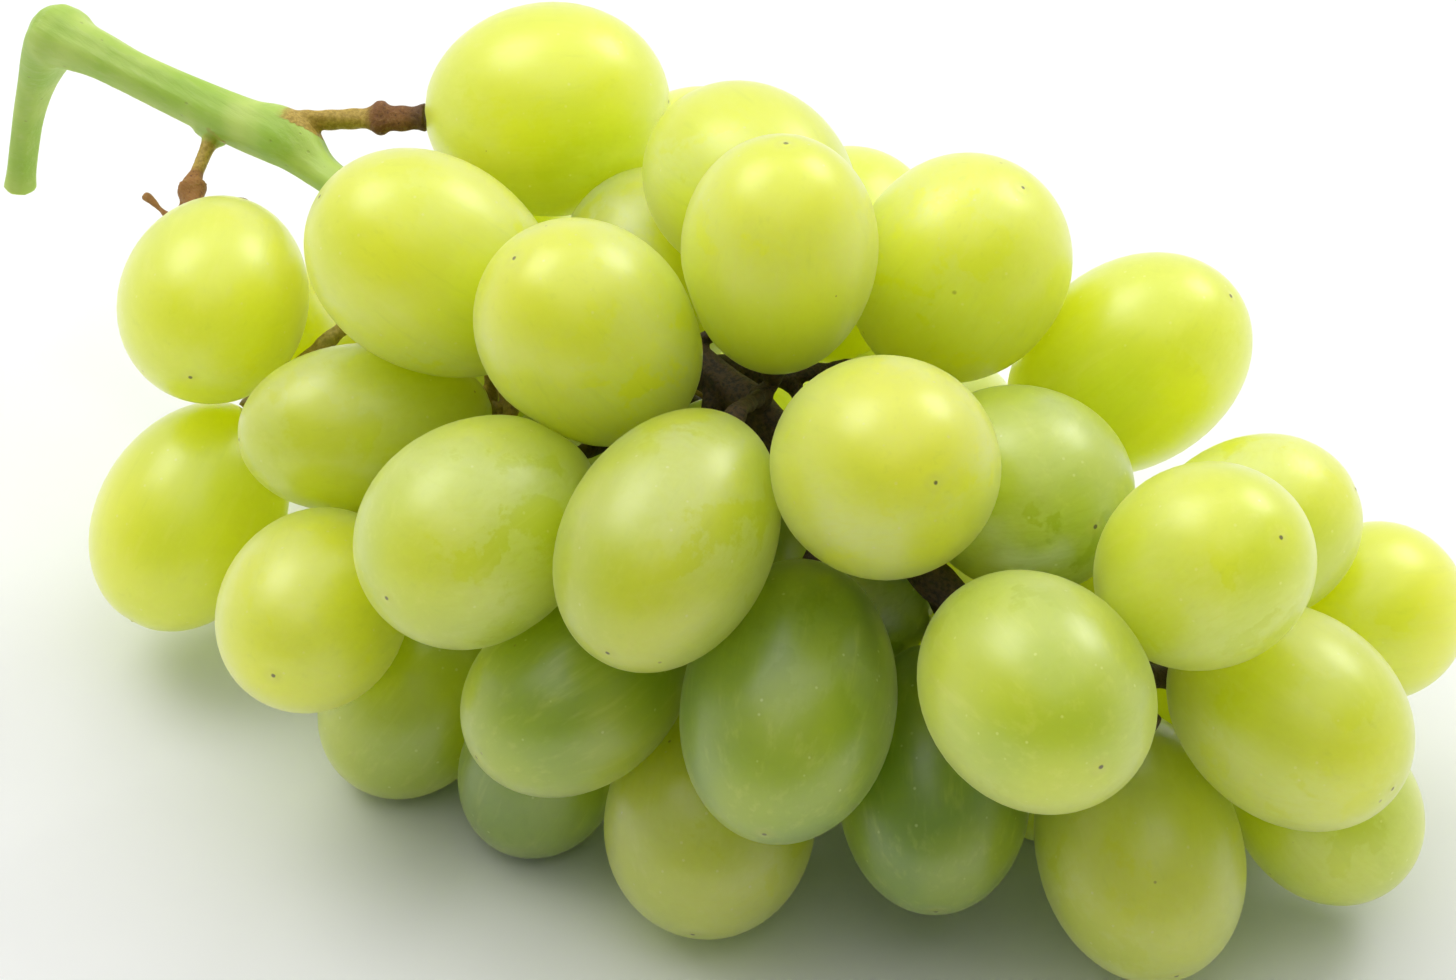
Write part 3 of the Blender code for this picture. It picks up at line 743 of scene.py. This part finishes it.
# ------------------------------------------------------------------ materials
class Graph:
    """A short way to write a node material."""

    def __init__(self, name):
        self.material = bpy.data.materials.new(name)
        self.material.use_nodes = True
        self.tree = self.material.node_tree
        self.shader = self.tree.nodes["Principled BSDF"]

    def link(self, source, target):
        if isinstance(source, bpy.types.NodeSocket):
            self.tree.links.new(source, target)
        elif source is not None:
            target.default_value = source

    def attribute(self, name, vector=False):
        node = self.tree.nodes.new("ShaderNodeAttribute")
        node.attribute_name = name
        return node.outputs["Vector" if vector else "Fac"]

    def math(self, kind, a, b=None, c=None, clamp=False):
        node = self.tree.nodes.new("ShaderNodeMath")
        node.operation = kind
        node.use_clamp = clamp
        self.link(a, node.inputs[0])
        self.link(b, node.inputs[1])
        self.link(c, node.inputs[2])
        return node.outputs[0]

    def vector(self, kind, a, b=None):
        node = self.tree.nodes.new("ShaderNodeVectorMath")
        node.operation = kind
        self.link(a, node.inputs[0])
        self.link(b, node.inputs[1])
        return node.outputs["Value" if kind in ("LENGTH", "DISTANCE") else "Vector"]

    def combine(self, x, y, z):
        node = self.tree.nodes.new("ShaderNodeCombineXYZ")
        for k, value in enumerate((x, y, z)):
            self.link(value, node.inputs[k])
        return node.outputs[0]

    def split(self, v):
        node = self.tree.nodes.new("ShaderNodeSeparateXYZ")
        self.link(v, node.inputs[0])
        return node.outputs

    def noise(self, v, scale, detail=2.0, rough=0.5, warp=0.0):
        node = self.tree.nodes.new("ShaderNodeTexNoise")
        self.link(v, node.inputs["Vector"])
        node.inputs["Scale"].default_value = scale
        node.inputs["Detail"].default_value = detail
        node.inputs["Roughness"].default_value = rough
        node.inputs["Distortion"].default_value = warp
        return node.outputs["Fac"]

    def cells(self, v, scale, feature="F1"):
        node = self.tree.nodes.new("ShaderNodeTexVoronoi")
        node.feature = feature
        self.link(v, node.inputs["Vector"])
        node.inputs["Scale"].default_value = scale
        return node

    def step(self, value, low, high, out_low=0.0, out_high=1.0):
        node = self.tree.nodes.new("ShaderNodeMapRange")
        node.interpolation_type = "SMOOTHSTEP"
        self.link(value, node.inputs["Value"])
        for key, number in zip(
            ("From Min", "From Max", "To Min", "To Max"), (low, high, out_low, out_high)
        ):
            self.link(number, node.inputs[key])
        return node.outputs["Result"]

    def mix(self, factor, a, b, kind="MIX"):
        node = self.tree.nodes.new("ShaderNodeMix")
        node.data_type = "RGBA"
        node.blend_type = kind
        self.link(factor, node.inputs["Factor"])
        ins = [s for s in node.inputs if s.type == "RGBA"]
        for source, target in ((a, ins[0]), (b, ins[1])):
            self.link((*source, 1.0) if isinstance(source, tuple) else source, target)
        return [s for s in node.outputs if s.type == "RGBA"][0]

    def bump(self, height, distance, strength=1.0, normal=None):
        node = self.tree.nodes.new("ShaderNodeBump")
        node.inputs["Strength"].default_value = strength
        node.inputs["Distance"].default_value = distance
        self.link(height, node.inputs["Height"])
        if normal is not None:
            self.link(normal, node.inputs["Normal"])
        return node.outputs[0]


def berry_material():
    g = Graph("grape_skin")
    loc = g.attribute("g_loc", True)
    seed = g.attribute("g_seed")
    tone_and_shade = g.attribute("g_tone_shade")
    keeps = g.attribute("g_bloom")
    offset = g.vector("MULTIPLY", g.combine(seed, seed, seed), (171.0, 57.0, 311.0))
    here = g.vector("ADD", loc, offset)
    part = g.split(loc)
    rho = g.math("SQRT", g.math("ADD", g.math("MULTIPLY", part[0], part[0]), g.math("MULTIPLY", part[1], part[1])))
    at_tip = g.step(part[2], 4.0, 6.0)
    at_root = g.step(part[2], -6.0, -4.0, 1.0, 0.0)

    # pulp colour: from a dark, shaded green to warm yellow-green, in soft clouds; the dark end is painted shade for
    # the low berries
    cloud = g.noise(here, 0.075, 1.0, 0.4)
    tone_and_shade_amount = g.math("ADD", tone_and_shade, g.step(cloud, 0.30, 0.72, -0.12, 0.12), clamp=True)
    colour = g.mix(tone_and_shade_amount, (0.150, 0.260, 0.004), (0.780, 0.930, 0.016))
    # veins and faint streaks that run from the stalk to the tip
    long = g.vector("MULTIPLY", here, (1.0, 1.0, 0.11))
    streak = g.noise(long, 0.80, 3.0, 0.6)
    colour = g.mix(g.step(streak, 0.50, 0.78, 0.0, 0.16), colour, (0.80, 0.88, 0.24))
    colour = g.mix(g.step(streak, 0.22, 0.44, 0.14, 0.0), colour, (0.30, 0.46, 0.01))

    # bloom: a thin pale wax, even in most places, rubbed off in crisp patches
    fine = g.noise(here, 0.9, 4.0, 0.65)
    patch = g.noise(here, 0.13, 3.0, 0.55, 0.5)
    cover = g.step(g.math("ADD", patch, g.math("MULTIPLY", fine, 0.24)), 0.510, 0.575)
    drift = g.step(g.noise(g.vector("ADD", here, (9.0, 4.0, 40.0)), 0.10, 1.0, 0.4), 0.30, 0.68, 0.25, 1.0)
    wipe = g.noise(g.vector("MULTIPLY", here, (0.35, 1.5, 0.55)), 1.3, 3.0, 0.6, 0.5)
    wax = g.math("MULTIPLY", g.math("MULTIPLY", cover, drift), g.step(wipe, 0.25, 0.60, 0.60, 1.0))
    wax = g.math("MULTIPLY", wax, keeps)
    colour = g.mix(g.math("MULTIPLY", wax, 0.54), colour, (0.69, 0.87, 0.30))

    # pin-prick specks, pale and dark
    tiny = g.cells(here, 0.62)
    pale = g.step(tiny.outputs["Distance"], 0.05, 0.13, 1.0, 0.0)
    keep = g.split(tiny.outputs["Color"])
    pale = g.math("MULTIPLY", pale, g.step(keep[0], 0.45, 0.65))
    colour = g.mix(g.math("MULTIPLY", pale, 0.34), colour, (0.80, 0.88, 0.44))
    speck = g.cells(g.vector("ADD", here, (31.0, 5.0, 17.0)), 0.26)
    size = g.split(speck.outputs["Color"])
    dark = g.step(speck.outputs["Distance"], g.math("MULTIPLY", size[1], 0.030), g.math("MULTIPLY", size[1], 0.085), 1.0, 0.0)
    dark = g.math("MULTIPLY", dark, g.step(size[0], 0.58, 0.62))
    colour = g.mix(g.math("MULTIPLY", dark, 0.65), colour, (0.16, 0.14, 0.02))
    # a few brown scabs
    scab = g.cells(g.vector("ADD", here, (7.0, 91.0, 3.0)), 0.085)
    pick = g.split(scab.outputs["Color"])
    wobble = g.math("ADD", scab.outputs["Distance"], g.math("MULTIPLY", g.math("SUBTRACT", fine, 0.5), 0.06))
    brown = g.math("MULTIPLY", g.step(wobble, 0.022, 0.045, 1.0, 0.0), g.step(pick[2], 0.78, 0.82))
    colour = g.mix(g.math("MULTIPLY", brown, 0.7), colour, (0.24, 0.14, 0.03))

    # the tip's scar, and the ring round the small stalk
    ring = g.math("MULTIPLY", g.step(rho, 0.4, 1.5, 1.0, 0.0), at_tip)
    colour = g.mix(g.math("MULTIPLY", ring, 0.25), colour, (0.52, 0.50, 0.10))
    dot = g.math("MULTIPLY", g.step(g.math("ADD", rho, g.math("MULTIPLY", fine, 0.25)), 0.26, 0.42, 1.0, 0.0), at_tip)
    colour = g.mix(g.math("MULTIPLY", dot, 0.95), colour, (0.030, 0.018, 0.006))
    seat = g.math("MULTIPLY", g.step(g.math("ADD", rho, g.math("MULTIPLY", fine, 0.8)), 1.7, 2.9, 1.0, 0.0), at_root)
    colour = g.mix(g.math("MULTIPLY", seat, 0.6), colour, (0.34, 0.30, 0.07))

    shader = g.shader
    g.link(colour, shader.inputs["Base Color"])
    rough = g.math("ADD", g.math("MULTIPLY", wax, 0.14), g.step(fine, 0.3, 0.7, 0.28, 0.33))
    rough = g.math("ADD", rough, g.math("MULTIPLY", g.math("MAXIMUM", dot, brown), 0.25))
    g.link(rough, shader.inputs["Roughness"])
    shader.inputs["IOR"].default_value = 1.45
    shader.inputs["Subsurface Weight"].default_value = 1.0
    shader.inputs["Subsurface Radius"].default_value = (1.0, 1.0, 0.022)
    shader.inputs["Subsurface Scale"].default_value = 0.075
    shader.inputs["Subsurface Anisotropy"].default_value = 0.0
    shader.inputs["Sheen Weight"].default_value = 0.22
    shader.inputs["Sheen Roughness"].default_value = 0.45
    shader.inputs["Sheen Tint"].default_value = (0.90, 1.0, 0.62, 1.0)
    shader.inputs["Coat Weight"].default_value = 1.0
    shader.inputs["Coat Roughness"].default_value = 0.42
    shader.inputs["Coat IOR"].default_value = 1.68
    height = g.math("ADD", g.math("MULTIPLY", fine, 0.08), g.math("MULTIPLY", wax, 0.20))
    height = g.math("ADD", height, g.math("MULTIPLY", brown, 0.9))
    height = g.math("SUBTRACT", height, g.math("MULTIPLY", dark, 0.5))
    g.link(g.bump(height, 0.00005, 0.6), shader.inputs["Normal"])
    return g.material


def stalk_material():
    g = Graph("stalk_skin")
    loc = g.attribute("s_loc", True)
    wood = g.attribute("s_wood")
    inner_shade = g.attribute("s_inner_shade")
    broad = g.noise(loc, 0.13, 2.0, 0.5)
    fibre = g.noise(g.vector("MULTIPLY", loc, (0.12, 1.0, 1.0)), 1.6, 3.0, 0.6)
    grit = g.noise(loc, 2.2, 4.0, 0.65)
    green = g.mix(g.step(broad, 0.32, 0.70), (0.370, 0.570, 0.060), (0.540, 0.690, 0.150))
    green = g.mix(g.step(fibre, 0.48, 0.78, 0.0, 0.30), green, (0.58, 0.68, 0.24))
    green = g.mix(g.step(fibre, 0.20, 0.42, 0.25, 0.0), green, (0.25, 0.42, 0.035))
    pores = g.cells(g.vector("MULTIPLY", loc, (0.55, 1.0, 1.0)), 0.9)
    pick = g.split(pores.outputs["Color"])
    pore = g.math("MULTIPLY", g.step(pores.outputs["Distance"], 0.07, 0.16, 1.0, 0.0), g.step(pick[0], 0.66, 0.74))
    green = g.mix(g.math("MULTIPLY", pore, 0.40), green, (0.30, 0.30, 0.08))
    brown = g.mix(g.step(broad, 0.30, 0.70), (0.190, 0.070, 0.014), (0.380, 0.175, 0.038))
    brown = g.mix(g.step(grit, 0.50, 0.72, 0.0, 0.55), brown, (0.42, 0.25, 0.08))
    brown = g.mix(g.step(grit, 0.28, 0.46, 0.75, 0.0), brown, (0.045, 0.017, 0.006))
    olive = g.mix(g.step(grit, 0.35, 0.65), (0.36, 0.24, 0.025), (0.55, 0.38, 0.07))
    worn = g.math("ADD", wood, g.math("MULTIPLY", g.math("SUBTRACT", broad, 0.5), 0.30))
    colour = g.mix(g.step(worn, 0.06, 0.36), green, olive)
    colour = g.mix(g.step(worn, 0.42, 0.90), colour, brown)
    # painted shade: inside the bunch the stalk turns near-black, where the berries shade it
    deep_shade = g.mix(g.step(grit, 0.35, 0.62), (0.012, 0.006, 0.003), (0.075, 0.038, 0.014))
    colour = g.mix(inner_shade, colour, deep_shade)
    shader = g.shader
    g.link(colour, shader.inputs["Base Color"])
    g.link(g.step(worn, 0.1, 0.7, 0.48, 0.66), shader.inputs["Roughness"])
    shader.inputs["Subsurface Weight"].default_value = 0.30
    shader.inputs["Subsurface Radius"].default_value = (1.0, 0.9, 0.30)
    shader.inputs["Subsurface Scale"].default_value = 0.0012
    height = g.math("ADD", g.math("MULTIPLY", fibre, 0.5), g.math("MULTIPLY", g.math("MULTIPLY", grit, wood), 1.8))
    height = g.math("SUBTRACT", height, g.math("MULTIPLY", pore, 0.3))
    g.link(g.bump(height, 0.00022, 0.8), shader.inputs["Normal"])
    return g.material


def floor_material():
    g = Graph("pale_floor")
    co = g.tree.nodes.new("ShaderNodeTexCoord").outputs["Object"]
    grain = g.noise(co, 40.0, 3.0, 0.5)
    g.link(g.mix(g.step(grain, 0.3, 0.7), (0.94, 0.94, 0.94), (0.96, 0.96, 0.96)), g.shader.inputs["Base Color"])
    g.shader.inputs["Roughness"].default_value = 0.75
    return g.material


# -------------------------------------------------------------------- staging
def aim(obj, place, toward):
    obj.location = place
    obj.rotation_euler = (Vector(toward) - Vector(place)).to_track_quat("-Z", "Y").to_euler()


def view_basis():
    right = np.array([math.cos(VIEW_TURN), math.sin(VIEW_TURN), 0.0])
    up = np.array(
        [
            -math.sin(VIEW_TURN) * math.sin(VIEW_RISE),
            math.cos(VIEW_TURN) * math.sin(VIEW_RISE),
            math.cos(VIEW_RISE),
        ]
    )
    near = np.array(
        [
            math.sin(VIEW_TURN) * math.cos(VIEW_RISE),
            -math.cos(VIEW_TURN) * math.cos(VIEW_RISE),
            math.sin(VIEW_RISE),
        ]
    )
    return right, up, near


def add_stage():
    scene = bpy.context.scene
    scene.view_settings.view_transform = "Standard"
    scene.view_settings.look = "None"
    right, up, near = view_basis()
    middle = (VIEW_AT + SHIFT) * MM

    plane = bmesh.new()
    bmesh.ops.create_grid(plane, x_segments=8, y_segments=8, size=3.0)
    mesh = bpy.data.meshes.new("floor")
    plane.to_mesh(mesh)
    plane.free()
    floor = bpy.data.objects.new("floor", mesh)
    floor.location = (0.0, 0.0, -0.00015)
    scene.collection.objects.link(floor)
    mesh.materials.append(floor_material())

    camera = bpy.data.cameras.new("camera")
    camera.lens = VIEW_FAR / VIEW_MM_PER_PX * 36.0 / 1456.0
    camera.sensor_width = 36.0
    camera.clip_start = 0.01
    camera.clip_end = 20.0
    eye = bpy.data.objects.new("camera", camera)
    place = middle + near * VIEW_FAR * MM
    turn = Matrix((right, up, near)).transposed().to_4x4()
    eye.matrix_world = Matrix.Translation(Vector(place)) @ turn
    scene.collection.objects.link(eye)
    scene.camera = eye

    for name, way, far, size, power, colour in LIGHTS:
        light = bpy.data.lights.new(name, "AREA")
        light.shape = "RECTANGLE"
        light.size, light.size_y = size
        light.energy = power
        light.color = colour
        lamp = bpy.data.objects.new(name, light)
        direction = right * way[0] + up * way[1] + near * way[2]
        direction = direction / np.linalg.norm(direction)
        aim(lamp, middle + direction * far, middle)
        scene.collection.objects.link(lamp)

    world = bpy.data.worlds.new("soft_room")
    world.use_nodes = True
    tree = world.node_tree
    back = tree.nodes["Background"]
    back.inputs["Color"].default_value = (1.0, 1.0, 1.0, 1.0)
    # brighter beyond the bunch than on the near side, so that light comes through it
    toward = tree.nodes.new("ShaderNodeVectorMath")
    toward.operation = "DOT_PRODUCT"
    toward.inputs[1].default_value = near
    tree.links.new(tree.nodes.new("ShaderNodeTexCoord").outputs["Generated"], toward.inputs[0])
    fade = tree.nodes.new("ShaderNodeMapRange")
    fade.interpolation_type = "SMOOTHSTEP"
    for key, number in (("From Min", -0.3), ("From Max", 0.9), ("To Min", 0.86), ("To Max", 0.16)):
        fade.inputs[key].default_value = number
    tree.links.new(toward.outputs["Value"], fade.inputs["Value"])
    tree.links.new(fade.outputs["Result"], back.inputs["Strength"])
    scene.world = world
    # light passes from berry to berry many times before it leaves
    scene.cycles.diffuse_bounces = 10


LIGHTS = (
    ("key", (-0.49, 0.81, 0.31), 0.85, (0.50, 0.44), 1.85, (1.0, 1.0, 1.0)),
    ("side", (0.55, 0.82, 0.02), 0.85, (0.34, 0.30), 1.6, (1.0, 1.0, 1.0)),
    ("ceiling", (0.0, 0.766, 0.643), 1.15, (1.6, 1.6), 7.5, (1.0, 1.0, 1.0)),
)


def build():
    berries, threaded = grow()
    planes = contact_planes(*berries)
    base = base_sphere(64, 42)
    unit = np.zeros(len(base.vertices) * 3, np.float32)
    base.vertices.foreach_get("co", unit)
    unit = unit.reshape(-1, 3).astype(float)
    skin = berry_material()
    for i in range(len(berries[0])):
        mesh = berry_mesh(base, unit, i, berries, planes[i])
        mesh.materials.append(skin)
        made = bpy.data.objects.new(f"grape_{i + 1:02d}", mesh)
        bpy.context.scene.collection.objects.link(made)
        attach(made, "root")
        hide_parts(f"berry_{i + 1:02d}")
    bpy.data.meshes.remove(base)
    stalk = stalk_object(berries, threaded)
    stalk.data.materials.clear()
    stalk.data.materials.append(stalk_material())
    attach(stalk, "root")
    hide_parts("stem")


build()
add_stage()
bpy.context.view_layer.update()
